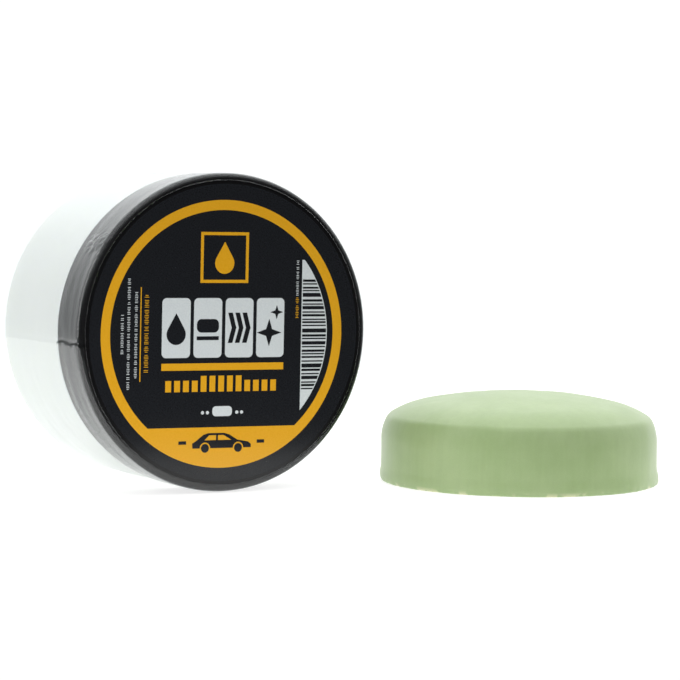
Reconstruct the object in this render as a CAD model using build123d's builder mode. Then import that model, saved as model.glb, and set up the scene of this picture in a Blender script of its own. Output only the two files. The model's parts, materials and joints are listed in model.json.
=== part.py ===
# A detailing clay bar and the screw-lid jar it is kept in.
#
# The clay bar is a round puck that lies flat on the bench. The jar lies on its side next to it,
# with its lid facing -Y. The lid turns off its thread, and a foam liner rides up with it.
# A clear seal film wraps the lid and the jar, parted at the perforation between them.
# Millimetres, +Z up. The origin is at the middle of the set, on the bench.
import os
from math import asin, atan2, cos, degrees, sin

from build123d import *

# ---- Lid ------------------------------------------------------------------------------------
lid_radius = 38.0
lid_height = 12.6
lid_wall = 1.0
lid_top_thickness = 1.2
lid_edge_radius = 1.1
lid_skirt_edge = 0.2

# ---- Jar ------------------------------------------------------------------------------------
jar_length = 47.5  # closed jar, from the lid's face to the foot
jar_step = 0.4  # how far the lid's side stands out past the jar's
jar_neck_wall = 0.9
jar_floor_thickness = 1.8
jar_heel_radius = 1.5  # outer edge of the base
jar_shoulder_edge = 0.4
jar_inner_corner = 3.0
jar_rim_edge = 0.25
seam_gap = 0.4  # lid skirt to jar shoulder, closed
foot_height = 0.5
foot_width = 3.0
foot_inset = 1.5  # from the film's folded edge in to the foot ring

# ---- Thread: one start, right hand, on the neck and inside the lid ---------------------------
thread_lead = 4.2
thread_height = 0.65
thread_crest_width = 0.8
thread_root_width = 1.6
thread_radial_clearance = 0.25
thread_axial_clearance = 0.3
thread_bite = 0.3  # how deep a ridge is rooted in its wall
thread_skirt_gap = 0.4  # lid skirt's edge to the lid's ridge
thread_rim_gap = 1.25  # jar's rim to the neck's ridge
thread_start_angle = 37.0  # degrees round the axis to where both ridges begin

# ---- Foam liner, printed label, seal film ----------------------------------------------------
liner_thickness = 1.5
liner_clearance = 0.1  # to the lid's top and to the jar's rim
liner_side_clearance = 0.3
label_margin = 0.8  # label's edge to the film's folded edge
label_thickness = 0.1
film_thickness = 0.1
film_air = 0.02  # under the film, along the walls
film_lap = 0.6  # flat width that the film folds in over the lid's face and under the base
film_seam_gap = 0.1

# ---- Clay puck ------------------------------------------------------------------------------
puck_height = 22.65  # bench to the top of the crown
puck_crown = 3.35  # how far the crown rises past the shoulder's arc
puck_shoulder_radius = 7.7
puck_mouth_clearance = 0.3  # all round, as the puck goes into the jar
puck_flash = 0.5  # how far the pressed lip at the base stands out
puck_flash_height = 1.3
puck_flash_fade = 4.2  # height where the lip has run out into the side
puck_heel_radius = 0.5

# ---- How the two lie on the bench ------------------------------------------------------------
puck_gap = 5.4  # side of the lid to the puck, along X
puck_ahead_of_lid = 7.0  # lid face to puck centre, towards the front

# ---- What follows from the sizes above --------------------------------------------------------
lid_bore_radius = lid_radius - lid_wall
neck_crest_radius = lid_bore_radius - thread_radial_clearance
neck_radius = neck_crest_radius - thread_height
lid_crest_radius = lid_bore_radius - thread_height
jar_bore_radius = neck_radius - jar_neck_wall
jar_radius = lid_radius - jar_step
rim_depth = lid_top_thickness + liner_thickness + 2 * liner_clearance
shoulder_depth = lid_height + seam_gap
base_depth = jar_length - foot_height
floor_depth = base_depth - jar_floor_thickness
lid_film_inner = lid_radius + film_air
lid_film_outer = lid_film_inner + film_thickness
jar_film_inner = jar_radius + film_air
jar_film_outer = jar_film_inner + film_thickness
lid_film_rim = lid_radius - lid_edge_radius - film_lap
jar_film_rim = jar_radius - jar_heel_radius - film_lap
foot_outer_radius = jar_film_rim - foot_inset
foot_inner_radius = foot_outer_radius - foot_width
puck_flash_radius = jar_bore_radius - puck_mouth_clearance
puck_radius = puck_flash_radius - puck_flash

# Both ridges run on one helix, a clearance apart: the lid's begins just inside its skirt, and
# the neck's ends just below the jar's rim. Both flanks slope, so the ridges are as wide as
# their middles where they face each other.
flank_slope = (thread_root_width - thread_crest_width) / thread_height
thread_sunk_width = thread_root_width + thread_bite * flank_slope
ridge_spacing = (thread_root_width + thread_crest_width) / 2 + thread_axial_clearance
lid_ridge_depth = lid_height - thread_skirt_gap - thread_root_width / 2
neck_ridge_depth = lid_ridge_depth - ridge_spacing
neck_ridge_end = rim_depth + thread_rim_gap + thread_root_width / 2
thread_length = neck_ridge_depth - neck_ridge_end

# The jar rests on the lid film's rear edge and on the heel of the base. The lid is a little
# wider than the jar, so the axis leans back and the lid faces slightly up.
heel_depth = base_depth - jar_heel_radius
lean = atan2(lid_film_outer - jar_film_outer, heel_depth - lid_height)
outward = Vector(0, -cos(lean), sin(lean))  # out of the lid's face

jar_x = -(puck_flash_radius + puck_gap / 2)
puck_x = lid_film_outer + puck_gap / 2
jar_reach = jar_length * cos(lean) + foot_outer_radius * sin(lean)
face_y = (puck_ahead_of_lid + puck_flash_radius - jar_reach) / 2
puck_y = face_y - puck_ahead_of_lid
face_z = lid_height * sin(lean) + lid_film_outer * cos(lean)

face_centre = Vector(jar_x, face_y, face_z)
screw_axis = Axis(face_centre, outward)
# Half-section plane of the jar: x is the distance from the axis, y is out of the lid's face,
# so a depth below the face is a negative y.
jar_section = Plane(origin=face_centre, x_dir=(1, 0, 0), z_dir=Vector(1, 0, 0).cross(outward))
puck_section = Plane(origin=(puck_x, puck_y, 0), x_dir=(1, 0, 0), z_dir=(0, -1, 0))
puck_axis = Axis((puck_x, puck_y, 0), (0, 0, 1))


def half_section(corners):
    """A closed half-section of a turned piece, from (radius, height, fillet) corners."""
    with BuildSketch(jar_section) as section:
        with BuildLine():
            FilletPolyline(
                *[(radius, height) for radius, height, _ in corners],
                radius=[fillet_radius for *_, fillet_radius in corners],
                close=True,
            )
        make_face()
    return section.sketch


def thread_ridge(root_radius, crest_radius, start_depth):
    """One ridge of the thread, wound out from start_depth towards the lid's face."""
    foot_of_helix = face_centre - outward * start_depth
    outwards = 1 if crest_radius > root_radius else -1
    with BuildPart() as ridge:
        with BuildLine() as path:
            Helix(
                thread_lead,
                thread_length,
                root_radius,
                center=foot_of_helix,
                direction=outward,
            )
        start = path.line @ 0
        section = Plane(
            origin=start,
            x_dir=(start - foot_of_helix).normalized() * outwards,
            z_dir=path.line % 0,
        )
        with BuildSketch(section):
            with BuildLine():
                Polyline(
                    (-thread_bite, -thread_sunk_width / 2),
                    (thread_height, -thread_crest_width / 2),
                    (thread_height, thread_crest_width / 2),
                    (-thread_bite, thread_sunk_width / 2),
                    close=True,
                )
            make_face()
        sweep(path=path.line, is_frenet=True)
    return ridge.part.rotate(screw_axis, thread_start_angle)


# ---- Clay puck --------------------------------------------------------------------------------
# A flat base with a thin pressed lip, a plain side, a soft round shoulder and a crowned top.
# The crown is one arc, tangent to the shoulder's arc.
puck_side_height = puck_height - puck_crown - puck_shoulder_radius
shoulder_centre = (puck_radius - puck_shoulder_radius, puck_side_height)
rise = puck_height - puck_side_height
crown_radius = (shoulder_centre[0] ** 2 + rise**2 - puck_shoulder_radius**2) / (
    2 * (rise - puck_shoulder_radius)
)
crown_angle = degrees(asin(shoulder_centre[0] / (crown_radius - puck_shoulder_radius)))

with BuildPart() as clay_bar:
    with BuildSketch(puck_section):
        with BuildLine():
            base = Line((0, 0), (puck_flash_radius - puck_heel_radius, 0))
            heel = TangentArc(base @ 1, (puck_flash_radius, puck_heel_radius), tangent=(1, 0))
            lip = Line(heel @ 1, (puck_flash_radius, puck_flash_height))
            fade = Bezier(
                lip @ 1,
                (puck_flash_radius, (puck_flash_height + puck_flash_fade) / 2),
                (puck_radius, (puck_flash_height + puck_flash_fade) / 2),
                (puck_radius, puck_flash_fade),
            )
            Line(fade @ 1, (puck_radius, puck_side_height))
            CenterArc(shoulder_centre, puck_shoulder_radius, 0, 90 - crown_angle)
            CenterArc((0, puck_height - crown_radius), crown_radius, 90 - crown_angle, crown_angle)
            Line((0, puck_height), (0, 0))
        make_face()
    revolve(axis=puck_axis)
clay_bar.part.label = "clay_bar"

# ---- Jar ----------------------------------------------------------------------------------------
# Straight-sided, with a thinner threaded neck, a foot ring and a recessed base.
neck_ridge = thread_ridge(neck_radius, neck_crest_radius, neck_ridge_depth)
jar_wall = half_section(
    [
        (0, -base_depth, 0),
        (foot_inner_radius, -base_depth, 0),
        (foot_inner_radius, -jar_length, foot_height / 2),
        (foot_outer_radius, -jar_length, foot_height / 2),
        (foot_outer_radius, -base_depth, 0),
        (jar_radius, -base_depth, jar_heel_radius),
        (jar_radius, -shoulder_depth, jar_shoulder_edge),
        (neck_radius, -shoulder_depth, 0),
        (neck_radius, -rim_depth, jar_rim_edge),
        (jar_bore_radius, -rim_depth, jar_rim_edge),
        (jar_bore_radius, -floor_depth, jar_inner_corner),
        (0, -floor_depth, 0),
    ]
)
with BuildPart() as jar:
    revolve(jar_wall, axis=screw_axis)
    add(neck_ridge)
jar.part.label = "jar"

# ---- Lid ----------------------------------------------------------------------------------------
# The lid's ridge runs behind the neck's ridge, where it bears as the lid tightens.
lid_ridge = thread_ridge(lid_bore_radius, lid_crest_radius, lid_ridge_depth)

lid_shell = half_section(
    [
        (0, 0, 0),
        (0, -lid_top_thickness, 0),
        (lid_bore_radius, -lid_top_thickness, 0),
        (lid_bore_radius, -lid_height, lid_skirt_edge),
        (lid_radius, -lid_height, lid_skirt_edge),
        (lid_radius, 0, lid_edge_radius),
    ]
)
with BuildPart() as lid:
    revolve(lid_shell, axis=screw_axis)
    add(lid_ridge)
lid.part.label = "lid"

# ---- Foam liner -----------------------------------------------------------------------------------
liner_plane = Plane(
    origin=face_centre - outward * (lid_top_thickness + liner_clearance), z_dir=outward
)
with BuildPart() as lid_liner:
    with BuildSketch(liner_plane):
        Circle(lid_bore_radius - liner_side_clearance)
    extrude(amount=-liner_thickness)
lid_liner.part.label = "lid_liner"

# ---- Printed label ----------------------------------------------------------------------------------
with BuildPart() as lid_label:
    with BuildSketch(Plane(origin=face_centre, z_dir=outward)):
        Circle(lid_film_rim - label_margin)
    extrude(amount=label_thickness)
lid_label.part.label = "lid_label"

# ---- Seal film --------------------------------------------------------------------------------------
# One shrunk sleeve, parted along its perforation: the front part folds in over the lid's face,
# the rear part folds in under the base.
lid_film_wall = half_section(
    [
        (lid_film_rim, 0, 0),
        (lid_film_inner, 0, lid_edge_radius + film_air),
        (lid_film_inner, -lid_height, 0),
        (lid_film_outer, -lid_height, 0),
        (lid_film_outer, film_thickness, lid_edge_radius + film_air + film_thickness),
        (lid_film_rim, film_thickness, 0),
    ]
)
with BuildPart() as lid_seal_film:
    revolve(lid_film_wall, axis=screw_axis)
lid_seal_film.part.label = "lid_seal_film"

jar_film_depth = shoulder_depth + film_seam_gap
jar_film_heel = jar_heel_radius + film_air
jar_film_wall = half_section(
    [
        (jar_film_inner, -jar_film_depth, 0),
        (jar_film_inner, -base_depth, jar_film_heel),
        (jar_film_rim, -base_depth, 0),
        (jar_film_rim, -base_depth - film_thickness, 0),
        (jar_film_outer, -base_depth - film_thickness, jar_film_heel + film_thickness),
        (jar_film_outer, -jar_film_depth, 0),
    ]
)
with BuildPart() as jar_seal_film:
    revolve(jar_film_wall, axis=screw_axis)
jar_seal_film.part.label = "jar_seal_film"

# ---- Output -----------------------------------------------------------------------------------------
os.makedirs("parts", exist_ok=True)
for piece in (jar, lid, lid_liner, lid_label, lid_seal_film, jar_seal_film, clay_bar):
    export_step(piece.part, f"parts/{piece.part.label}.step")
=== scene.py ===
# %% [markdown]
# # A detailing clay bar and its screw-lid jar
#
# Detailing clay is a soft resin with a fine grit in it, pressed into a round puck. It is kept in
# a straight-sided polypropylene jar with a black screw lid, a printed label on the lid and a
# clear shrunk sleeve over both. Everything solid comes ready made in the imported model, so this
# lesson only adds what a solid model can't say: hand-pressed clay, ink, thin film and finishes.

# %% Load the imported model
import json
import math

import bpy
from mathutils import Matrix, Quaternion, Vector, noise


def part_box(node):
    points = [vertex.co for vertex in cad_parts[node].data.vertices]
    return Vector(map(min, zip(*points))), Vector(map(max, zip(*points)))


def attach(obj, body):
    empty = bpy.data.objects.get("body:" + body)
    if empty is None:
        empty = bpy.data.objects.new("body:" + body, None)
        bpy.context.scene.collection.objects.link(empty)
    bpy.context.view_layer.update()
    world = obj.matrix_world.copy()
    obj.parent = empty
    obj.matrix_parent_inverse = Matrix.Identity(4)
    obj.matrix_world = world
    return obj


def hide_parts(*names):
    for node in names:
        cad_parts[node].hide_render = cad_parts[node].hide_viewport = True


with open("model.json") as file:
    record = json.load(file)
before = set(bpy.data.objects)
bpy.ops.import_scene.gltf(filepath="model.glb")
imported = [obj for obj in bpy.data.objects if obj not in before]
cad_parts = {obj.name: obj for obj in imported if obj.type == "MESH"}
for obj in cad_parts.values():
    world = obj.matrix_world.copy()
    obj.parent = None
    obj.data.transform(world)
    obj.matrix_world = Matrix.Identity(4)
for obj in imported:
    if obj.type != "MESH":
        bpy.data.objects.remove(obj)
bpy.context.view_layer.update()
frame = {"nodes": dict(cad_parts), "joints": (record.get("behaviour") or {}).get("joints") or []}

MM = 0.001

# %% [markdown]
# ## Where the lid is
#
# The label, its inks and the film all belong to the lid, which lies on its side. It is easiest
# to make them lying flat, with x to the right, y up the label and z out of the lid's face, and
# to turn them into place at the end. The lid's joint gives the middle of its face and the way
# it looks, so one matrix does that for every piece.

# %% The lid's own axes
lid_joint = next(joint for joint in frame["joints"] if joint["name"] == "lid_turn")
face_centre = Vector(lid_joint["pos_m"])
face_out = Vector(lid_joint["axis"]).normalized()
face_right = Vector((1, 0, 0))
face_up = face_out.cross(face_right)
on_lid = Matrix((face_right, face_up, face_out)).transposed().to_4x4()
on_lid.translation = face_centre


def size_of(node):
    """Width, depth and height of a CAD node in millimetres."""
    low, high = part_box(node)
    return (high - low) / MM


lid_radius = size_of("lid").x / 2
jar_radius = size_of("jar").x / 2
clay_low, clay_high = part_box("clay_bar")
clay_radius = size_of("clay_bar").x / 2
clay_height = size_of("clay_bar").z
print(f"radius of the lid {lid_radius:.2f} mm, jar {jar_radius:.2f} mm, clay {clay_radius:.2f} mm")

# %% [markdown]
# ## Small tools for modelling
#
# An operator works on everything that is selected, so each step begins by selecting one object
# and nothing else. Turned shapes, such as the puck and the film, are made as on a lathe: a ring
# is added, then extruded and resized from point to point of a profile.

# %% Selecting
def only(piece):
    """Select one object and nothing else."""
    if bpy.context.mode != "OBJECT":
        bpy.ops.object.mode_set(mode="OBJECT")
    bpy.ops.object.select_all(action="DESELECT")
    piece.select_set(True)
    bpy.context.view_layer.objects.active = piece


# %% Turning
def lathe(name, profile, steps):
    """A ring extruded through a (radius, height) profile in millimetres, open at both ends."""
    bpy.ops.object.select_all(action="DESELECT")
    radius, height = profile[0]
    bpy.ops.mesh.primitive_circle_add(
        vertices=steps, radius=radius * MM, location=(0, 0, height * MM)
    )
    piece = bpy.context.object
    piece.name = name
    bpy.ops.object.transform_apply()
    bpy.ops.object.mode_set(mode="EDIT")
    bpy.ops.mesh.select_all(action="SELECT")
    for next_radius, next_height in profile[1:]:
        bpy.ops.mesh.extrude_region_move(
            TRANSFORM_OT_translate={"value": (0, 0, (next_height - height) * MM)}
        )
        spread = next_radius / radius
        bpy.ops.transform.resize(
            value=(spread, spread, 1), center_override=(0, 0, next_height * MM)
        )
        radius, height = next_radius, next_height
    bpy.ops.object.mode_set(mode="OBJECT")
    return piece


# %% Cleaning, placing and finishing
def tidy_mesh(piece, gap_mm):
    """Merge points closer than the gap and turn every face outwards."""
    only(piece)
    bpy.ops.object.mode_set(mode="EDIT")
    bpy.ops.mesh.select_all(action="SELECT")
    bpy.ops.mesh.remove_doubles(threshold=gap_mm * MM)
    bpy.ops.mesh.normals_make_consistent(inside=False)
    bpy.ops.object.mode_set(mode="OBJECT")


def settle(piece, place):
    """Put a finished piece in its place and leave its object at the origin."""
    only(piece)
    piece.matrix_world = place
    bpy.ops.object.transform_apply()


def give(piece, body, material):
    """Finish a piece: its material and the body it rides on."""
    piece.data.materials.clear()
    piece.data.materials.append(material)
    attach(piece, body)
    print(f"{piece.name}: {len(piece.data.polygons)} faces, rides on {body}")


# %% [markdown]
# ## Small tools for materials
#
# Colours are written as the sRGB hex values a paint shop would use, and one function turns them
# into the linear values that a renderer needs. One more function adds a shader node, sets its
# values and joins its links, so that each material below reads as a short recipe.

# %% Colours and nodes
def linear(hex_colour):
    """Linear RGBA from an sRGB hex colour."""
    parts = [int(hex_colour[k : k + 2], 16) / 255 for k in (1, 3, 5)]
    flat = [c / 12.92 if c <= 0.04045 else ((c + 0.055) / 1.055) ** 2.4 for c in parts]
    return (*flat, 1.0)


def node(tree, kind, inputs=None, **settings):
    """Add a shader node. An input is a value, or another node's output to link from."""
    made = tree.nodes.new(kind)
    for name, value in settings.items():
        setattr(made, name, value)
    for name, value in (inputs or {}).items():
        if isinstance(value, bpy.types.NodeSocket):
            tree.links.new(value, made.inputs[name])
        else:
            made.inputs[name].default_value = value
    return made


def blank(name):
    """An empty material, its node tree, its output and the object's own coordinates."""
    material = bpy.data.materials.new(name)
    material.use_nodes = True
    tree = material.node_tree
    tree.nodes.clear()
    out = node(tree, "ShaderNodeOutputMaterial")
    place = node(tree, "ShaderNodeTexCoord").outputs["Object"]
    print("finish:", name)
    return material, tree, out, place


def per_mm(size_mm):
    """Texture scale, in metres, of a pattern whose features are this many millimetres apart."""
    return 1 / (size_mm * MM)


# %% [markdown]
# ## The camera
#
# A small product like this is shot from most of a metre away with a long lens, almost level
# with the bench, and from the left of the lid, so that the label reads as a circle and the side
# of the jar still shows. A wide lens close by would also take in the whole set, but it would
# stretch the near rim of the lid. The camera is leaned over by under a degree.

# %% Camera
camera_aside = -317.7
camera_back = -639.2
camera_height = 87.5
look_right = math.radians(28.62)
look_down = math.radians(4.06)
camera_roll = math.radians(0.69)

camera_data = bpy.data.cameras.new("camera")
camera_data.sensor_width = 36.0
camera_data.lens = 158.8
camera_data.clip_start = 0.01
camera_data.clip_end = 50.0
camera = bpy.data.objects.new("camera", camera_data)
bpy.context.scene.collection.objects.link(camera)
bpy.context.scene.camera = camera
camera.location = (
    face_centre.x + camera_aside * MM,
    face_centre.y + camera_back * MM,
    camera_height * MM,
)
look = Vector(
    (
        math.sin(look_right) * math.cos(look_down),
        math.cos(look_right) * math.cos(look_down),
        -math.sin(look_down),
    )
)
camera.rotation_mode = "QUATERNION"
camera.rotation_quaternion = look.to_track_quat("-Z", "Y") @ Quaternion((0, 0, 1), camera_roll)
print(f"camera {(camera.location - face_centre).length / MM:.0f} mm from the lid")

# %% [markdown]
# ## The studio: the room
#
# Black gloss shows the room more than it shows itself, so the room is designed first. A softbox
# hangs overhead, a lit wall stands behind, brightest to the right, and the front is dark: the
# lid's face mirrors the dark front and stays black, while its side mirrors the wall and turns
# grey. Separate lamps would each leave a hard shape in the gloss, so one sky shades the room by
# direction instead. What the camera sees past the table is plain white.

# %% The room
room_front = 0.08
room_back = 1.18
wall_from, wall_to = -0.4, 1.0
softbox = 1.45
softbox_spread = 1.6
backdrop = 1.05

world = bpy.data.worlds.new("studio")
bpy.context.scene.world = world
world.use_nodes = True
sky = world.node_tree
sky.nodes.clear()
direction = node(sky, "ShaderNodeTexCoord").outputs["Generated"]
brightest = Vector((0.62, 0.78, 0)).normalized()
facing_wall = node(
    sky, "ShaderNodeVectorMath", {0: direction, 1: brightest}, operation="DOT_PRODUCT"
)
wall = node(
    sky,
    "ShaderNodeMapRange",
    {
        "Value": facing_wall.outputs["Value"],
        "From Min": wall_from,
        "From Max": wall_to,
        "To Min": room_front,
        "To Max": room_back,
    },
    interpolation_type="SMOOTHSTEP",
)
height = node(sky, "ShaderNodeSeparateXYZ", {"Vector": direction}).outputs["Z"]
above = node(sky, "ShaderNodeMath", {0: height, 1: 0.0}, operation="MAXIMUM")
overhead = node(
    sky, "ShaderNodeMath", {0: above.outputs[0], 1: softbox_spread}, operation="POWER"
)
light = node(
    sky,
    "ShaderNodeMath",
    {0: overhead.outputs[0], 1: softbox, 2: wall.outputs["Result"]},
    operation="MULTIPLY_ADD",
)
room = node(
    sky, "ShaderNodeBackground", {"Color": linear("#fdfeff"), "Strength": light.outputs[0]}
)
paper = node(sky, "ShaderNodeBackground", {"Color": linear("#ffffff"), "Strength": backdrop})
seen = node(sky, "ShaderNodeLightPath").outputs["Is Camera Ray"]
both = node(sky, "ShaderNodeMixShader", {0: seen, 1: room.outputs[0], 2: paper.outputs[0]})
node(sky, "ShaderNodeOutputWorld", {"Surface": both.outputs[0]})
print(f"room from {room_front} in front to {room_back} behind, softbox {softbox}")

# %% [markdown]
# ## The studio: the light table
#
# The set stands on a light table, a sheet of white acrylic lit from below, which is how products
# are shot on pure white with hardly a shadow. Acrylic is smooth and even, and the light inside it
# hides what little grain it has. The sheet is small and turned, so that its front edge passes
# close before the set, closest at the right: a larger sheet would be mirrored in the lid's face
# and turn the black to grey.

# %% The light table
table_glow = 0.76
table_front = 0.10
table_turn = math.radians(18)
table_size = 0.52

lit_acrylic, tree, out, place = blank("lit_white_acrylic")
grain = node(tree, "ShaderNodeTexNoise", {"Vector": place, "Scale": per_mm(0.8), "Detail": 3.0})
tone = node(tree, "ShaderNodeValToRGB", {"Fac": grain.outputs["Fac"]})
tone.color_ramp.elements[0].color = linear("#a8a8a6")
tone.color_ramp.elements[1].color = linear("#b2b2b0")
surface = node(
    tree,
    "ShaderNodeBsdfPrincipled",
    {
        "Base Color": tone.outputs["Color"],
        "Roughness": 0.9,
        "Specular IOR Level": 0.2,
        "Emission Color": linear("#ffffff"),
        "Emission Strength": table_glow,
    },
)
tree.links.new(surface.outputs[0], out.inputs["Surface"])

bpy.ops.object.select_all(action="DESELECT")
table_middle = Vector((0, table_size / 2 - table_front, 0))
table_middle.rotate(Quaternion((0, 0, 1), table_turn))
bpy.ops.mesh.primitive_plane_add(
    size=table_size, location=table_middle, rotation=(0, 0, table_turn)
)
table = bpy.context.object
table.name = "light_table"
table.data.materials.append(lit_acrylic)
print(f"table {table_size / MM:.0f} mm square, its edge {table_front / MM:.0f} mm before the middle")

# %% [markdown]
# ## The studio: the strip light
#
# The jar is milky, so it looks only as white as the light that falls on it. A tall light far to
# the left fills it and the left of the lid, and stands behind the plane of the lid's face, which
# can't mirror it there. The Standard view transform keeps white paper white, where a filmic one
# would grey it.

# %% The strip light
strip_watts = 4.4
strip_width, strip_length = 0.7, 0.9
strip_at = Vector((-1.0, 0.28, 0.38))
strip_data = bpy.data.lights.new("strip_light", "AREA")
strip_data.shape = "RECTANGLE"
strip_data.size = strip_width
strip_data.size_y = strip_length
strip_data.energy = strip_watts
strip_light = bpy.data.objects.new("strip_light", strip_data)
bpy.context.scene.collection.objects.link(strip_light)
strip_light.location = strip_at
strip_aim = Vector((face_centre.x, 0, face_centre.z)) - strip_at
strip_light.rotation_mode = "QUATERNION"
strip_light.rotation_quaternion = strip_aim.to_track_quat("-Z", "Y")

bpy.context.scene.view_settings.view_transform = "Standard"
bpy.context.scene.view_settings.look = "None"
print(f"strip light of {strip_watts} W, {strip_aim.length:.2f} m from the lid")

# %% [markdown]
# ## Finish: moulded black polypropylene
#
# The lid is injection moulded from black polypropylene in a polished mould. It comes out glossy,
# with a slight unevenness from the melt's flow. Colour alone would look like paint: what tells
# the eye that it is plastic is a low roughness that wanders a little over a centimetre or so,
# and a very shallow ripple, which bends the mirrored room.

# %% Black polypropylene
black_polypropylene, tree, out, place = blank("moulded_black_polypropylene")
flow = node(tree, "ShaderNodeTexNoise", {"Vector": place, "Scale": per_mm(14), "Detail": 4.0})
gloss = node(
    tree, "ShaderNodeMapRange", {"Value": flow.outputs["Fac"], "To Min": 0.10, "To Max": 0.24}
)
ripple = node(tree, "ShaderNodeTexNoise", {"Vector": place, "Scale": per_mm(7), "Detail": 1.0})
relief = node(
    tree,
    "ShaderNodeBump",
    {"Height": ripple.outputs["Fac"], "Distance": 0.02 * MM, "Strength": 0.35},
)
surface = node(
    tree,
    "ShaderNodeBsdfPrincipled",
    {
        "Base Color": linear("#09090b"),
        "Roughness": gloss.outputs["Result"],
        "IOR": 1.49,
        "Normal": relief.outputs["Normal"],
    },
)
tree.links.new(surface.outputs[0], out.inputs["Surface"])

# %% [markdown]
# ## Finish: natural polypropylene
#
# The jar has no pigment. Natural polypropylene is milky: light goes in, scatters between
# the plastic's crystals and comes out softened, a touch green. That is subsurface scattering
# with some light passing straight on, under a satin surface. Plain white would look like paint
# or card, with a hard edge between light and shade.

# %% Natural polypropylene
natural_polypropylene, tree, out, place = blank("natural_polypropylene")
cloud = node(tree, "ShaderNodeTexNoise", {"Vector": place, "Scale": per_mm(18), "Detail": 3.0})
milk = node(tree, "ShaderNodeValToRGB", {"Fac": cloud.outputs["Fac"]})
milk.color_ramp.elements[0].color = linear("#eff5ed")
milk.color_ramp.elements[1].color = linear("#f7faf5")
satin = node(
    tree, "ShaderNodeMapRange", {"Value": cloud.outputs["Fac"], "To Min": 0.26, "To Max": 0.4}
)
surface = node(
    tree,
    "ShaderNodeBsdfPrincipled",
    {
        "Base Color": milk.outputs["Color"],
        "Roughness": satin.outputs["Result"],
        "IOR": 1.49,
        "Subsurface Weight": 0.7,
        "Subsurface Radius": (1.0, 1.0, 0.9),
        "Subsurface Scale": 3.0 * MM,
        "Transmission Weight": 0.15,
    },
)
tree.links.new(surface.outputs[0], out.inputs["Surface"])

# %% [markdown]
# ## Finish: expanded polyethylene foam
#
# The liner inside the lid is cut from white foam sheet. It is soft and dull, and its closed
# cells, 0.6 mm across, dimple the surface. A Voronoi texture is made of just such cells.

# %% White foam
white_foam, tree, out, place = blank("expanded_polyethylene_foam")
cells = node(
    tree, "ShaderNodeTexVoronoi", {"Vector": place, "Scale": per_mm(0.6)}, feature="SMOOTH_F1"
)
shade = node(tree, "ShaderNodeValToRGB", {"Fac": cells.outputs["Distance"]})
shade.color_ramp.elements[0].color = linear("#fafaf6")
shade.color_ramp.elements[1].color = linear("#e2e2dc")
relief = node(
    tree,
    "ShaderNodeBump",
    {"Height": cells.outputs["Distance"], "Distance": 0.15 * MM, "Strength": 0.6},
    invert=True,
)
surface = node(
    tree,
    "ShaderNodeBsdfPrincipled",
    {
        "Base Color": shade.outputs["Color"],
        "Roughness": 0.85,
        "IOR": 1.45,
        "Subsurface Weight": 0.3,
        "Subsurface Scale": 1.0 * MM,
        "Normal": relief.outputs["Normal"],
    },
)
tree.links.new(surface.outputs[0], out.inputs["Surface"])

# %% [markdown]
# ## Finish: printing inks under a gloss laminate
#
# The label is printed film with a clear laminate over it, so all its inks share one gloss and
# differ only in colour. Screened ink isn't perfectly even: a fine mottle, drawn here at a third
# of a millimetre, lightens and darkens it by a few percent.

# %% Inks
def ink(name, dark, bright, roughness):
    """A laminated printing ink that wanders between two close colours."""
    material, tree, out, place = blank(name)
    mottle = node(
        tree, "ShaderNodeTexNoise", {"Vector": place, "Scale": per_mm(0.35), "Detail": 3.0}
    )
    colour = node(tree, "ShaderNodeValToRGB", {"Fac": mottle.outputs["Fac"]})
    colour.color_ramp.elements[0].position = 0.3
    colour.color_ramp.elements[0].color = linear(dark)
    colour.color_ramp.elements[1].position = 0.7
    colour.color_ramp.elements[1].color = linear(bright)
    laminate = node(
        tree, "ShaderNodeTexNoise", {"Vector": place, "Scale": per_mm(9), "Detail": 2.0}
    )
    gloss = node(
        tree,
        "ShaderNodeMapRange",
        {
            "Value": laminate.outputs["Fac"],
            "To Min": roughness - 0.04,
            "To Max": roughness + 0.05,
        },
    )
    waviness = node(
        tree,
        "ShaderNodeBump",
        {"Height": laminate.outputs["Fac"], "Distance": 0.03 * MM, "Strength": 0.3},
    )
    surface = node(
        tree,
        "ShaderNodeBsdfPrincipled",
        {
            "Base Color": colour.outputs["Color"],
            "Roughness": gloss.outputs["Result"],
            "IOR": 1.47,
            "Normal": waviness.outputs["Normal"],
        },
    )
    tree.links.new(surface.outputs[0], out.inputs["Surface"])
    return material


black_ink = ink("label_black_ink", "#1a1c20", "#1d1f23", 0.15)
orange_ink = ink("label_orange_ink", "#f3b01c", "#f9b827", 0.2)
white_ink = ink("label_white_ink", "#e2e9eb", "#ecf2f3", 0.2)

# %% [markdown]
# ## Finish: clear shrink film
#
# The sleeve is clear film, a few hundredths of a millimetre thick, shrunk on with warm air.
# What is seen of it is only what it mirrors. Glass with refraction would bend what lies behind
# it, which film this thin doesn't, so it is see-through with a mirror mixed in. Plastic mirrors
# a few percent head on, and more with the fifth power towards the edge. The film clings to the
# plastic behind it, which takes away part of the mirror, so both shares are held below those of
# a free sheet. A shallow bump, 4 mm apart, gives the soft unevenness of drawn film.

# %% What the film mirrors
shrink_film, tree, out, place = blank("clear_shrink_film")
head_on = 0.025
glancing = 0.38
edge_on = node(tree, "ShaderNodeLayerWeight", {"Blend": 0.5}).outputs["Facing"]
steep = node(tree, "ShaderNodeMath", {0: edge_on, 1: 5.0}, operation="POWER")
share = node(
    tree, "ShaderNodeMath", {0: steep.outputs[0], 1: glancing, 2: head_on}, operation="MULTIPLY_ADD"
)
drawn = node(tree, "ShaderNodeTexNoise", {"Vector": place, "Scale": per_mm(4), "Detail": 0.5})
relief = node(
    tree, "ShaderNodeBump", {"Height": drawn.outputs["Fac"], "Distance": 0.03 * MM, "Strength": 0.4}
)
print(f"film mirrors {head_on:.1%} head on and {head_on + glancing:.1%} edge on")

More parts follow.
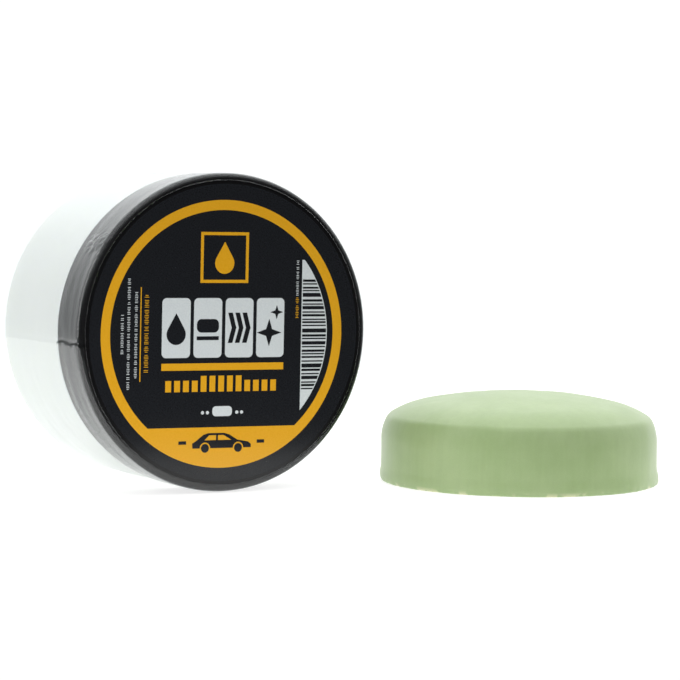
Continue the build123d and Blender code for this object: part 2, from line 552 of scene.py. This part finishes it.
# %% [markdown]
# ## The lap's shadow
#
# Where the film laps over itself, half way up the left side of the lid, it traps a hair of
# shadow. It could be a groove in the mesh, but it is no wider than a face there, so it is drawn:
# the distance from the lap's height, made to stray by the film's own noise, turns into a fine
# line, and two steps keep it to the left side of the lid. Noise is a half on average, so half of
# the stray is taken off the height again.

# %% A hairline on the lid's left side
lap_drop = 2.0
lap_stray = 1.2
lap_faint, lap_full = 0.45, 0.1
lap_depth = 12.8
lap_unlit = 0.75
where = node(tree, "ShaderNodeSeparateXYZ", {"Vector": place})
lap_height = face_centre.z + (lap_stray / 2 - lap_drop) * MM
strayed = node(
    tree,
    "ShaderNodeMath",
    {0: drawn.outputs["Fac"], 1: lap_stray * MM, 2: where.outputs["Z"]},
    operation="MULTIPLY_ADD",
)
from_lap = node(
    tree, "ShaderNodeMath", {0: strayed.outputs[0], 1: lap_height}, operation="SUBTRACT"
)
off_lap = node(tree, "ShaderNodeMath", {0: from_lap.outputs[0]}, operation="ABSOLUTE")
hairline = node(
    tree,
    "ShaderNodeMapRange",
    {"Value": off_lap.outputs[0], "From Min": lap_faint * MM, "From Max": lap_full * MM},
)
on_left = node(
    tree, "ShaderNodeMath", {0: where.outputs["X"], 1: face_centre.x}, operation="LESS_THAN"
)
on_lid_side = node(
    tree,
    "ShaderNodeMath",
    {0: where.outputs["Y"], 1: face_centre.y + lap_depth * MM},
    operation="LESS_THAN",
)
lap_there = node(
    tree, "ShaderNodeMath", {0: on_lid_side.outputs[0], 1: on_left.outputs[0]}, operation="MULTIPLY"
)
lap_shadow = node(
    tree,
    "ShaderNodeMath",
    {0: hairline.outputs["Result"], 1: lap_there.outputs[0]},
    operation="MULTIPLY",
)
print(f"lap {lap_drop} mm below the lid's middle")

# %% [markdown]
# ## Film put together
#
# The shadow takes away most of the mirror along the lap and dims what is seen through it. The
# mirror's share then mixes a clear shader and a glossy one.

# %% Clear and mirror
unlit = node(
    tree,
    "ShaderNodeMath",
    {0: lap_shadow.outputs[0], 1: -lap_unlit, 2: 1.0},
    operation="MULTIPLY_ADD",
)
share = node(
    tree, "ShaderNodeMath", {0: share.outputs[0], 1: unlit.outputs[0]}, operation="MULTIPLY"
)
dimmed = node(
    tree,
    "ShaderNodeMix",
    {"Factor": lap_shadow.outputs[0], 6: linear("#fbfcfc"), 7: linear("#d6d8d8")},
    data_type="RGBA",
)
clear = node(tree, "ShaderNodeBsdfTransparent", {"Color": dimmed.outputs[2]})
mirror = node(
    tree,
    "ShaderNodeBsdfGlossy",
    {"Color": linear("#ffffff"), "Roughness": 0.09, "Normal": relief.outputs["Normal"]},
)
film = node(
    tree, "ShaderNodeMixShader", {0: share.outputs[0], 1: clear.outputs[0], 2: mirror.outputs[0]}
)
tree.links.new(film.outputs[0], out.inputs["Surface"])

# %% [markdown]
# ## Finish: detailing clay
#
# The clay is an opaque pale green resin loaded with fine grit. Its colour is a little uneven
# from mixing, over a centimetre or so. The grit itself is far too fine to see, so it is drawn
# several times coarser, at 0.25 mm, as a faint speckle multiplied over the colour.

# %% Mixed colour and grit
clay_green, tree, out, place = blank("green_detailing_clay")
mixing = node(tree, "ShaderNodeTexNoise", {"Vector": place, "Scale": per_mm(11), "Detail": 4.0})
colour = node(tree, "ShaderNodeValToRGB", {"Fac": mixing.outputs["Fac"]})
colour.color_ramp.elements[0].position = 0.3
colour.color_ramp.elements[0].color = linear("#a2ba82")
colour.color_ramp.elements[1].position = 0.7
colour.color_ramp.elements[1].color = linear("#adc38e")
grit = node(tree, "ShaderNodeTexNoise", {"Vector": place, "Scale": per_mm(0.25), "Detail": 2.0})
speck = node(
    tree, "ShaderNodeMapRange", {"Value": grit.outputs["Fac"], "To Min": 0.93, "To Max": 1.05}
)
speckled = node(
    tree,
    "ShaderNodeMix",
    {"Factor": 1.0, 6: colour.outputs["Color"], 7: speck.outputs["Result"]},
    data_type="RGBA",
    blend_type="MULTIPLY",
)
print("clay colour mixed over 11 mm, grit drawn at 0.25 mm")

# %% [markdown]
# ## Clay: streaks and a paler flash
#
# The mould has drawn faint upright streaks down the side. A noise becomes streaks when it is read
# in squashed coordinates, so that it changes slowly upwards. The thin torn flash at the base is
# drawn paler than the rest, most of all nearest the table, but only in places, so two ranges, one
# of height and one of noise, are multiplied.

# %% Streaks and a paler flash
streak_squash = 0.06
pale_top, pale_full = 1.1, 0.2
upright = node(
    tree, "ShaderNodeVectorMath", {0: place, 1: (1.0, 1.0, streak_squash)}, operation="MULTIPLY"
)
drawn = node(
    tree,
    "ShaderNodeTexNoise",
    {"Vector": upright.outputs["Vector"], "Scale": per_mm(1.5), "Detail": 2.0},
)
streak = node(
    tree, "ShaderNodeMapRange", {"Value": drawn.outputs["Fac"], "To Min": 0.94, "To Max": 1.06}
)
streaked = node(
    tree,
    "ShaderNodeMix",
    {"Factor": 1.0, 6: speckled.outputs[2], 7: streak.outputs["Result"]},
    data_type="RGBA",
    blend_type="MULTIPLY",
)
up = node(tree, "ShaderNodeSeparateXYZ", {"Vector": place}).outputs["Z"]
# Paler colour near the base of the puck, strongest in the lowest 0.2 mm, in patches of noise.
low_down = node(
    tree, "ShaderNodeMapRange", {"Value": up, "From Min": pale_top * MM, "From Max": pale_full * MM}
)
torn = node(tree, "ShaderNodeTexNoise", {"Vector": place, "Scale": per_mm(3.5), "Detail": 2.0})
in_places = node(
    tree, "ShaderNodeMapRange", {"Value": torn.outputs["Fac"], "From Min": 0.52, "From Max": 0.6}
)
paler_base = node(
    tree,
    "ShaderNodeMath",
    {0: low_down.outputs["Result"], 1: in_places.outputs["Result"]},
    operation="MULTIPLY",
)
finished = node(
    tree,
    "ShaderNodeMix",
    {"Factor": paler_base.outputs[0], 6: streaked.outputs[2], 7: linear("#d8dcb4")},
    data_type="RGBA",
)
print(f"flash shown paler below {pale_top} mm")

# %% [markdown]
# ## Clay: dents, oil and bloom
#
# Handling leaves wide, shallow dents, and the grit leaves a fine roughness on top of them: the
# second bump takes the first one's normal, so that both show. The clay is slightly oily, which
# gives it a low, uneven gloss. A powdery bloom, which is what sheen draws, lightens whatever is
# seen at a glancing angle, and a little light goes under the surface, as in wax.

# %% Dents, oil and bloom
handled = node(tree, "ShaderNodeTexNoise", {"Vector": place, "Scale": per_mm(5), "Detail": 3.0})
dents = node(
    tree,
    "ShaderNodeBump",
    {"Height": handled.outputs["Fac"], "Distance": 0.25 * MM, "Strength": 0.25},
)
grain = node(
    tree,
    "ShaderNodeBump",
    {
        "Height": grit.outputs["Fac"],
        "Distance": 0.04 * MM,
        "Strength": 0.5,
        "Normal": dents.outputs["Normal"],
    },
)
oily = node(
    tree, "ShaderNodeMapRange", {"Value": handled.outputs["Fac"], "To Min": 0.34, "To Max": 0.48}
)
surface = node(
    tree,
    "ShaderNodeBsdfPrincipled",
    {
        "Base Color": finished.outputs[2],
        "Roughness": oily.outputs["Result"],
        "IOR": 1.5,
        "Subsurface Weight": 0.15,
        "Subsurface Radius": (0.8, 1.0, 0.5),
        "Subsurface Scale": 1.2 * MM,
        "Sheen Weight": 0.28,
        "Sheen Roughness": 0.35,
        "Sheen Tint": linear("#f4f6f2"),
        "Normal": grain.outputs["Normal"],
    },
)
tree.links.new(surface.outputs[0], out.inputs["Surface"])

# %% [markdown]
# ## The moulded pieces
#
# The jar, the lid, the foam liner and the bare label are right as they come from the packed
# model, so each only gets its finish. Their meshes are never touched, because the sizes and the
# thread live there.

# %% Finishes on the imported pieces
for name, finish in (
    ("jar", natural_polypropylene),
    ("lid", black_polypropylene),
    ("lid_liner", white_foam),
    ("lid_label", black_ink),
):
    part = frame["nodes"][name]
    part.data.materials.clear()
    part.data.materials.append(finish)
    print(f"{name}: {finish.name}")

# %% [markdown]
# ## The clay puck
#
# The puck is pressed in a mould. It has a flat base, plain sides that lean in towards a fairly
# tight edge, a low crown, and a thin lip of flash round the base where the mould closed. It could
# be sculpted, but a turned profile keeps its size exact. The profile is a chain of arcs, each
# given by its radius and the slopes, in degrees, that it turns between. The crown is kept a
# little low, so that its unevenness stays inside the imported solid.

# %% Arcs
def arc(centre, radius, first, last, steps):
    """Points on an arc about a (radius, height) centre, with the first point left out."""
    angles = [first + (last - first) * k / steps for k in range(1, steps + 1)]
    return [(centre[0] + radius * math.cos(a), centre[1] + radius * math.sin(a)) for a in angles]


def along(start, angle, step):
    """The point a step away from another, at an angle."""
    return (start[0] + step * math.cos(angle), start[1] + step * math.sin(angle))


# %% Puck profile
clay_flash = 0.5
clay_flash_top = 1.3
clay_flash_fade = 4.2
clay_toe = 0.5
toe_middle = 0.3 * clay_toe
crown_room = 0.3
clay_side = clay_radius - clay_flash
clay_top = clay_height - crown_room
lean, edge, shoulder = (12.0, 0, 25), (3.2, 25, 58), (24.0, 58, 78)
pole = 0.02
arc_steps, crown_steps, base_rings, fade_steps, side_steps = 9, 24, 12, 5, 10
almost_upright = math.radians(89.9)

upper = [(clay_side, 0.0)]
for radius, first, last in (lean, edge, shoulder):
    centre = along(upper[-1], math.radians(first), -radius)
    upper += arc(centre, radius, math.radians(first), math.radians(last), arc_steps)
crown_radius, crown_rise = upper[-1]
crown_turn = math.radians(shoulder[2])
crown_arc = crown_radius / math.cos(crown_turn)
side_top = clay_top - crown_rise - crown_arc * (1 - math.sin(crown_turn))

profile = [(pole, 0.0)]
profile += [(clay_radius * k / base_rings, 0.0) for k in range(1, base_rings)]
profile += [(clay_radius - clay_toe, 0.0), (clay_radius - toe_middle, toe_middle)]
profile += [(clay_radius, clay_toe), (clay_radius, clay_flash_top)]
for k in range(1, fade_steps + 1):
    share_up = k / fade_steps
    ease = share_up * share_up * (3 - 2 * share_up)
    fade_height = clay_flash_top + (clay_flash_fade - clay_flash_top) * share_up
    profile.append((clay_radius - clay_flash * ease, fade_height))
side_rise = (side_top - clay_flash_fade) / side_steps
profile += [(clay_side, clay_flash_fade + side_rise * k) for k in range(1, side_steps + 1)]
profile += [(radius, rise + side_top) for radius, rise in upper[1:]]
crown = (0, clay_top - crown_arc)
profile += arc(crown, crown_arc, crown_turn, almost_upright, crown_steps)[:-1]
profile.append((pole, clay_top))
print(f"profile of {len(profile)} points, crown radius {crown_arc:.1f} mm, top {clay_top:.2f} mm")

# %% [markdown]
# ## Turn the puck and press it out of true
#
# A puck pressed from soft clay is never quite round. After turning, its points are moved along
# their own radius by a slow noise, so that no two stretches of the outline are the same. The
# flash stands out most on one side, where the flare is strongest, and is torn by a fast noise.
# A bump in the material could look uneven too, but would leave the outline perfectly round.

# %% Turn the puck
puck_steps = 288
clay = lathe("clay_bar_pressed", profile, puck_steps)
tidy_mesh(clay, 3 * pole)
print(f"puck turned: {len(clay.data.vertices)} points")

# %% Press it out of true
# Heights and reaches are in millimetres. The flare is a share of the flash, from 0 to 1.
wobble = 0.12
wobble_reach = 16.0
dimple = 0.07
dimple_reach = 5.0
tear = 0.3
tear_reach = 1.4
tear_from, tear_gain = 0.45, 1.4
calm_middle = 12.0
flare_mean, flare_lean, flare_patch, flare_patches = 0.45, 0.45, 0.6, 2.3
flare_side = Vector((0.87, -0.5, 0))
flare_seed = Vector((4, 7, 1))
crown_share = 0.8
for vertex in clay.data.vertices:
    at = vertex.co / MM
    out_of_axis = Vector((at.x, at.y, 0))
    reach = out_of_axis.length
    if reach < 4 * pole:
        continue
    aside = out_of_axis / reach
    slow = noise.noise(at / wobble_reach) * wobble + noise.noise(at / dimple_reach) * dimple
    lift = min(at.z / clay_flash_fade, 1.0)
    push = slow * min(reach / calm_middle, 1.0)
    if at.z < clay_flash_fade and reach > clay_side - 2:
        patch = noise.noise(aside * flare_patches + flare_seed)
        flare = flare_mean + flare_lean * aside.dot(flare_side) + flare_patch * patch
        ragged = noise.noise(at / tear_reach) * tear
        fall = 1 - lift
        push -= clay_flash * (1 - min(max(flare, 0.0), 1.0)) * fall
        push += (ragged - tear / 2) * max(fall - tear_from, 0) * tear_gain
    moved = at + aside * push
    if at.z > side_top:
        moved.z += slow * crown_share * (at.z - side_top) / (clay_top - side_top)
    vertex.co = moved * MM
only(clay)
bpy.ops.object.shade_smooth()
clay_middle = (clay_low + clay_high) / 2
settle(clay, Matrix.Translation((clay_middle.x, clay_middle.y, clay_low.z)))
give(clay, "clay", clay_green)
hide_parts("clay_bar")

# %% [markdown]
# ## The seal film
#
# A shrunk sleeve is never smooth. It keeps faint streaks round the lid from being drawn tight, a
# lapped seam that runs from the lid along the jar, a gathered lip where it folds over the face,
# and a crumple where it caught. Cloth simulation could shrink it, but film this tight has
# nowhere to go, so its few faults are laid one by one: noise for the streaks, a step that is sharp
# on one side and eases away on the other for the lap, and a patch of creases for the crumple.

# %% Streaks, lap and crumple
# In millimetres, apart from the angles and from how finely streaks, slack and pleats run round.
film_stand = 0.06
streak_height, streak_around, streak_pitch = 0.09, 2.2, 2.4
slack_height, slack_around, slack_pitch = 0.04, 4.0, 12.0
seam_angle = math.radians(183)
seam_rise = 0.3
seam_ease = 5.0
seam_wander, seam_wander_pitch = 0.5, 2.2
crumple_angle = math.radians(145.5)
crumple_spread = math.radians(4.2)
crumple_middle, crumple_length = -3.5, 4.5
crease_around, crease_slant, crease_pitch = 1.2, 2.5, 2.6
crease_sharpness = 3
print(f"lap at {math.degrees(seam_angle):.0f} degrees, crumple at {math.degrees(crumple_angle):.1f}")


def film_wrinkle(at, radius, seam_height, crumple):
    """How far the film stands off at a point, in millimetres."""
    angle = math.atan2(at.y, at.x) % math.tau
    around = angle * radius
    aside = Vector((math.cos(angle), math.sin(angle), 0))
    ring = aside * streak_around
    streaks = noise.noise(Vector((ring.x, ring.y, at.z / streak_pitch)))
    ring = aside * slack_around
    slack = noise.noise(Vector((ring.x, ring.y, at.z / slack_pitch + 3)))
    stand = film_stand + streak_height * streaks + slack_height * slack
    wander = noise.noise(Vector((at.z / seam_wander_pitch, 5.0, 1.0))) * seam_wander
    past_seam = around - seam_angle * radius + wander
    if past_seam > 0:
        stand += seam_height * math.exp(-past_seam / seam_ease) * min(past_seam / seam_rise, 1)
    from_crumple = (angle - crumple_angle) / crumple_spread
    if crumple and abs(from_crumple) < 3:
        slanted = around / crease_around + at.z / crease_slant
        crease = noise.noise(Vector((slanted, at.z / crease_pitch, 2.0)))
        up_crumple = (at.z - crumple_middle) / crumple_length
        reach = math.exp(-(from_crumple**2)) * math.exp(-(up_crumple**2))
        stand += crumple * reach * (1 - min(abs(crease) * crease_sharpness, 1))
    return max(stand, 0.0)


# %% [markdown]
# ## Shrinking a sleeve on
#
# Each half of the sleeve is turned as a wall with no thickness, its points are moved outwards,
# and a Solidify modifier gives it its thickness, outwards too, so that no film sinks into the
# plastic. The normals are recalculated first, because the modifier follows them. The last ring
# is the cut lip, which gathers in fine pleats instead.

# %% Turn, wrinkle and thicken
film_wall = 0.06
film_air = 0.03
film_lap = 0.6
film_steps = 640
pleats_around = 26
pleat_lift, pleat_spread = 0.03, 0.05


def wrap(name, profile, seam_height, crumple, outward):
    """A film wall, wrinkled and thickened. Outward, 1 or -1, is the way its lip gathers."""
    piece = lathe(name, profile, film_steps)
    radius = profile[0][0]
    lip_height = profile[-1][1]
    for vertex in piece.data.vertices:
        at = vertex.co / MM
        aside = Vector((at.x, at.y, 0)).normalized()
        if abs(at.z - lip_height) < 0.01:
            ring = aside * pleats_around
            pleat = noise.noise(Vector((ring.x, ring.y, 1.0)))
            at.z += outward * pleat_lift * abs(pleat)
            at += aside * pleat * pleat_spread
        else:
            at += aside * film_wrinkle(at, radius, seam_height, crumple)
        vertex.co = at * MM
    tidy_mesh(piece, 0.001)
    wall = piece.modifiers.new("wall", "SOLIDIFY")
    wall.thickness = film_wall * MM
    wall.offset = 1.0
    bpy.ops.object.modifier_apply(modifier=wall.name)
    bpy.ops.object.shade_smooth()
    settle(piece, on_lid)
    return piece


# %% [markdown]
# ## Wrap the lid
#
# The front half of the sleeve runs up the lid's side, round its edge and a little way over its
# face. Its rows of faces are half a millimetre apart, fine enough for the crumple to crease.

# %% Wrap the lid
lid_height = 12.6
lid_edge = 1.1
lid_film_step = 0.5
lid_seam = 0.34
lid_crumple = 0.55
edge_steps = 9
wall_radius = lid_radius + film_air
rows = int((lid_height - lid_edge) / lid_film_step)
climb = (lid_height - lid_edge) / rows
lid_wall = [(wall_radius, climb * k - lid_height) for k in range(rows + 1)]
edge_centre = (wall_radius - lid_edge, film_air - lid_edge)
lid_wall += arc(edge_centre, lid_edge, 0, math.pi / 2, edge_steps)
lid_rim = lid_wall[-1][0]
lid_wall += [(lid_rim - film_lap / 2, film_air), (lid_rim - film_lap, film_air)]
lid_film = wrap("lid_film_shrunk", lid_wall, lid_seam, lid_crumple, 1)
give(lid_film, "lid", shrink_film)
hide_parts("lid_seal_film")

# %% [markdown]
# ## Wrap the jar
#
# The rear half starts half a millimetre behind the lid, where the perforation parts the sleeve,
# so that the lid can turn without it. It has no crumple, so coarser rows will do.

# %% Wrap the jar
jar_edge = 1.5
jar_top = 13.1
jar_base = 47.0
jar_film_step = 0.9
jar_seam = 0.1
wall_radius = jar_radius + film_air
rows = int((jar_base - jar_edge - jar_top) / jar_film_step)
fall = (jar_base - jar_edge - jar_top) / rows
jar_wall = [(wall_radius, -jar_top - fall * k) for k in range(rows + 1)]
heel = (wall_radius - jar_edge, jar_edge - jar_base - film_air)
jar_wall += arc(heel, jar_edge, 0, -math.pi / 2, edge_steps)
jar_rim, jar_lip = jar_wall[-1]
jar_wall += [(jar_rim - film_lap / 2, jar_lip), (jar_rim - film_lap, jar_lip)]
jar_film = wrap("jar_film_shrunk", jar_wall, jar_seam, 0.0, -1)
give(jar_film, "jar", shrink_film)
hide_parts("jar_seal_film")

# %% [markdown]
# ## The print on the label
#
# Print is flat shapes of one ink each. A flat curve fills itself and leaves a hole wherever one
# outline lies inside another, which is just how print works, so each ink is one such curve,
# raised by a few hundredths of a millimetre and turned into a mesh. An image would be quicker,
# but its edges soften close up. The art is a generic layout of rings, bars and pictograms, with
# no lettering. Each helper below returns one outline in millimetres on the label.

# %% Outlines
corner_points = 6


def box_outline(left, low, right, high):
    """A rectangle."""
    return [(left, low), (right, low), (right, high), (left, high)]


def round_outline(centre, radius, points, first=0.0, last=math.tau):
    """A circle, or the part of one between two angles."""
    whole = abs(last - first) >= math.tau
    count = points if whole else points - 1
    angles = [first + (last - first) * k / count for k in range(points)]
    return [(centre[0] + radius * math.cos(a), centre[1] + radius * math.sin(a)) for a in angles]


def tile_outline(left, low, right, high, corner):
    """A rectangle with round corners."""
    centres = [
        (right - corner, high - corner),
        (left + corner, high - corner),
        (left + corner, low + corner),
        (right - corner, low + corner),
    ]
    outline = []
    for k, centre in enumerate(centres):
        first = k * math.pi / 2
        outline += round_outline(centre, corner, corner_points, first, first + math.pi / 2)
    return outline


def drop_outline(centre, radius):
    """A drop of water: two thirds of a circle, drawn up to a point."""
    bowl = round_outline(centre, radius, 19, math.radians(150), math.radians(390))
    return bowl + [(centre[0], centre[1] + 2 * radius)]


def star_outline(centre, reach, waist):
    """A four-pointed sparkle."""
    spokes = [reach, waist] * 4
    return [
        (
            centre[0] + spoke * math.cos(math.pi / 4 * k),
            centre[1] + spoke * math.sin(math.pi / 4 * k),
        )
        for k, spoke in enumerate(spokes)
    ]


# %% [markdown]
# ## One ink at a time
#
# The art lies a little off the label's middle and is turned by under a degree, as happens when
# labels are cut out after printing. It is moved and turned point by point before it is filled.

# %% Fill, thicken and place an ink
art_middle = (-0.6, -0.3)
art_turn = math.radians(-0.9)
label_top = 0.1
ink_thickness = 0.03


def print_ink(name, outlines, lift, material):
    """Fill outlines with one ink, a little above the label, and put them on the lid."""
    curve = bpy.data.curves.new(name, "CURVE")
    curve.dimensions = "2D"
    curve.fill_mode = "BOTH"
    curve.extrude = ink_thickness / 2 * MM
    turn = Matrix.Rotation(art_turn, 2)
    for outline in outlines:
        spline = curve.splines.new("POLY")
        spline.points.add(len(outline) - 1)
        spline.use_cyclic_u = True
        for point, (across, up) in zip(spline.points, outline):
            spot = turn @ Vector((across, up)) + Vector(art_middle)
            point.co = (spot.x * MM, spot.y * MM, 0, 1)
    piece = bpy.data.objects.new(name, curve)
    bpy.context.scene.collection.objects.link(piece)
    only(piece)
    bpy.ops.object.convert(target="MESH")
    piece = bpy.context.object
    tidy_mesh(piece, 0.002)
    settle(piece, on_lid @ Matrix.Translation((0, 0, (label_top + lift) * MM)))
    give(piece, "lid", material)
    return piece


# %% [markdown]
# ## The layout
#
# A ring closes the label, with a filled foot below a straight cut. A block of four pictogram
# tiles takes the widest line, with a framed drop above it. Numbers are heights and distances
# from the label's middle, so that a shape can be moved without touching the others.

# %% Ring, badge and tiles
ring_outer = 31.95
ring_inner = 29.55
foot_cut = -22.2
cut_angle = math.asin(foot_cut / ring_inner)
ring = [
    round_outline((0, 0), ring_outer, 160),
    round_outline((0, 0), ring_inner, 120, cut_angle, math.pi - cut_angle),
]

frame_low, frame_high, frame_half = 12.2, 24.3, 6.35
frame_line = 0.75
badge_drop_at, badge_drop = (0, 16.9), 2.55
badge = [
    box_outline(-frame_half, frame_low, frame_half, frame_high),
    box_outline(
        -frame_half + frame_line,
        frame_low + frame_line,
        frame_half - frame_line,
        frame_high - frame_line,
    ),
    drop_outline(badge_drop_at, badge_drop),
]

block_low, block_high, block_half = -5.6, 8.6, 16.2
tile_gap = 0.9
tile_corner = 1.1
tile_width = (2 * block_half - 3 * tile_gap) / 4
tile_lefts = [-block_half + k * (tile_width + tile_gap) for k in range(4)]
tiles = [tile_outline(x, block_low, x + tile_width, block_high, tile_corner) for x in tile_lefts]
tile_middles = [(x + tile_width / 2, (block_low + block_high) / 2) for x in tile_lefts]
print(f"ring {ring_outer - ring_inner:.1f} mm wide, four tiles {tile_width:.2f} mm wide")

# %% [markdown]
# ## Rule, grade scale and mark
#
# Under the tiles come a rule, a row of bars that are taller in the middle, as a grade scale shows
# a medium grade, and a small white lozenge between dots. What repeats is a loop, so a change of
# pitch moves the whole row.

# %% Rule, grade scale and mark
rule_low, rule_high = -8.6, -6.9
rule = [box_outline(-block_half, rule_low, block_half, rule_high)]

grade_bars = 13
grade_half = 15.1
grade_low, grade_high, grade_middle_high = -13.7, -11.0, -9.9
grade_pitch = 2 * grade_half / grade_bars
bar_width = grade_pitch * 0.66
grade = []
for k in range(grade_bars):
    left = -grade_half + k * grade_pitch
    top = grade_middle_high if abs(k - grade_bars // 2) <= 2 else grade_high
    grade.append(box_outline(left, grade_low, left + bar_width, top))

mark_half, mark_low, mark_high, mark_corner = 2.6, -19.6, -17.2, 0.9
dot_first, dot_pitch, dot_up, dot_radius = 3.9, 1.3, -18.7, 0.42
lozenge_mark = [tile_outline(-mark_half, mark_low, mark_half, mark_high, mark_corner)]
for side in (-1, 1):
    for k in range(2):
        dot_at = (side * (dot_first + dot_pitch * k), dot_up)
        lozenge_mark.append(round_outline(dot_at, dot_radius, 16))
print(f"{grade_bars} grade bars, one every {grade_pitch:.2f} mm")

# %% [markdown]
# ## The stripe code
#
# A white field at the right holds a stripe code that encodes nothing: its widths and gaps are
# two short lists that repeat. The field's right side follows the ring, and each stripe is cut
# where a circle a little inside the ring crosses it. A Boolean would cut them too, but worked
# out like this they need only four points each.

# %% Stripe code
def ring_reach(up, margin):
    """How far to the right a shape may go at a height, short of the ring."""
    return math.sqrt((ring_inner - margin) ** 2 - up**2)


code_left = 20.9
code_low, code_high = -18.5, 17.8
stripes_low, stripes_high = -13.5, 12.9
code_margin = 1.6
stripe_inset = 0.25
code_radius = ring_inner - code_margin
low_angle = math.asin(code_low / code_radius)
high_angle = math.asin(code_high / code_radius)
code_field = [
    [(code_left, code_low), *round_outline((0, 0), code_radius, 40, low_angle, high_angle)]
    + [(code_left, code_high)]
]
stripes = []
stripe_low = stripes_low
widths = (0.32, 0.55, 0.32, 0.8, 0.32, 0.55, 0.95, 0.32, 0.45)
gaps = (0.4, 0.3, 0.55, 0.35, 0.5, 0.3, 0.45, 0.6)
count = 0
while stripe_low < stripes_high:
    stripe_high = stripe_low + widths[count % len(widths)]
    stripes.append(
        [
            (code_left + stripe_inset, stripe_low),
            (ring_reach(stripe_low, code_margin) - stripe_inset, stripe_low),
            (ring_reach(stripe_high, code_margin) - stripe_inset, stripe_high),
            (code_left + stripe_inset, stripe_high),
        ]
    )
    stripe_low = stripe_high + gaps[count % len(gaps)]
    count += 1
print(f"{len(stripes)} stripes")

# %% [markdown]
# ## Fine print
#
# From a step away fine print is only columns of strokes in groups, so that is all that is drawn.
# Real letters this small would be hard to see and heavy to fill. Each column is given by how far
# across it stands, its lowest and highest points, the width of its strokes and the group that
# it starts with.

# %% Fine print
stroke, stroke_pitch, group_gap = 0.15, 0.4, 0.35


def fine_line(across, low, high, width, start):
    """A column of short strokes in groups, as fine print looks from a distance."""
    strokes = []
    groups = (7, 3, 9, 5, 2, 8, 4)
    up = low
    group = start
    while up < high:
        for k in range(groups[group % len(groups)]):
            if up > high:
                break
            reach = width * (0.5 if (k + group) % 3 else 0.35)
            strokes.append(box_outline(across - reach, up, across + reach, up + stroke))
            up += stroke_pitch
        up += group_gap
        group += 1
    return strokes


white_lines = fine_line(-22.9, -10.2, 10.5, 0.75, 0)
white_lines += fine_line(-24.8, -12.9, 13.2, 0.75, 3)
white_lines += fine_line(-26.45, -4.5, 4.6, 0.75, 1)
white_lines += fine_line(19.7, 9.2, 17.6, 0.7, 2)
orange_lines = fine_line(-20.2, -8.9, 9.4, 1.1, 4)
orange_lines += fine_line(19.7, 3.8, 8.8, 0.8, 5)
orange_lines.append(box_outline(-21.85, -11.1, -21.6, 11.2))
print(f"{len(white_lines)} white strokes, {len(orange_lines)} orange ones")

# %% [markdown]
# ## Pictograms
#
# The four tiles say without words what clay is for: wet the paint, take the puck, rub one way,
# and the paint shines. Each is drawn about the middle of its tile, as a closed outline of a few
# points, with round stretches as arcs.

# %% Pictograms
drop_at, puck_at, rub_at, shine_at = tile_middles
pictograms = [drop_outline((drop_at[0], drop_at[1] - 1.5), 2.5)]
puck_left, puck_right = puck_at[0] - 2.9, puck_at[0] + 2.9
pictograms.append(tile_outline(puck_left, puck_at[1] - 1.1, puck_right, puck_at[1] + 2.1, 1.2))
pictograms.append(box_outline(puck_left, puck_at[1] - 2.9, puck_right, puck_at[1] - 2.0))
chevron_pitch, chevron_half = 1.9, 3.6
for k in (-1, 0, 1):
    across = rub_at[0] + chevron_pitch * k
    pictograms.append(
        [
            (across - 1.1, rub_at[1] - chevron_half),
            (across + 0.1, rub_at[1] - chevron_half),
            (across + 1.1, rub_at[1]),
            (across + 0.1, rub_at[1] + chevron_half),
            (across - 1.1, rub_at[1] + chevron_half),
            (across - 0.1, rub_at[1]),
        ]
    )
pictograms.append(star_outline((shine_at[0] - 0.3, shine_at[1] - 1.2), 3.3, 1.15))
pictograms.append(star_outline((shine_at[0] + 1.7, shine_at[1] + 3.7), 1.7, 0.6))
print(f"{len(pictograms)} outlines on four tiles")

# %% [markdown]
# ## The car
#
# On the orange foot a small saloon car, of no particular make, stands between two dashes. Its
# outline runs clockwise from the tail, and the wheel arches are half circles cut into the sill.
# The windows and wheels lie inside that outline or beside it, so the fill opens or closes them.

# %% The car
wheel_at, wheel, arch = 4.4, 1.05, 1.4
sill = -27.2
car = [(-7.7, sill), (-7.8, sill + 1.2), (-6.9, sill + 1.7), (-4.9, sill + 3.2)]
car += [(-3.6, sill + 3.6), (0.6, sill + 3.6), (2.0, sill + 3.2), (4.2, sill + 1.9)]
car += [(7.0, sill + 1.4), (7.8, sill + 0.8), (7.8, sill)]
for side in (1, -1):
    car += round_outline((side * wheel_at, sill), arch, 13, 0, math.pi)
windows = [
    [(-4.6, sill + 1.9), (-3.3, sill + 3.1), (-1.5, sill + 3.1), (-1.5, sill + 1.9)],
    [(-1.0, sill + 1.9), (-1.0, sill + 3.1), (0.5, sill + 3.1), (2.6, sill + 1.9)],
]
car_print = [car, *windows]
car_print += [round_outline((side * wheel_at, sill), wheel, 24) for side in (1, -1)]
dash_near, dash_far = 9.4, 11.4
for side in (-1, 1):
    left, right = sorted((side * dash_near, side * dash_far))
    car_print.append(box_outline(left, sill + 1.0, right, sill + 1.8))
print(f"{len(car_print)} outlines for the car")

# %% [markdown]
# ## Printing
#
# Orange and white lie side by side on the black label. Black is printed over them, one ink
# higher, so that no two faces share a plane and flicker.

# %% Print the three inks
print_ink("label_orange_print", ring + badge + rule + grade + orange_lines, 0.0, orange_ink)
print_ink("label_white_print", tiles + lozenge_mark + code_field + white_lines, 0.0, white_ink)
print_ink("label_black_print", pictograms + stripes + car_print, ink_thickness, black_ink)
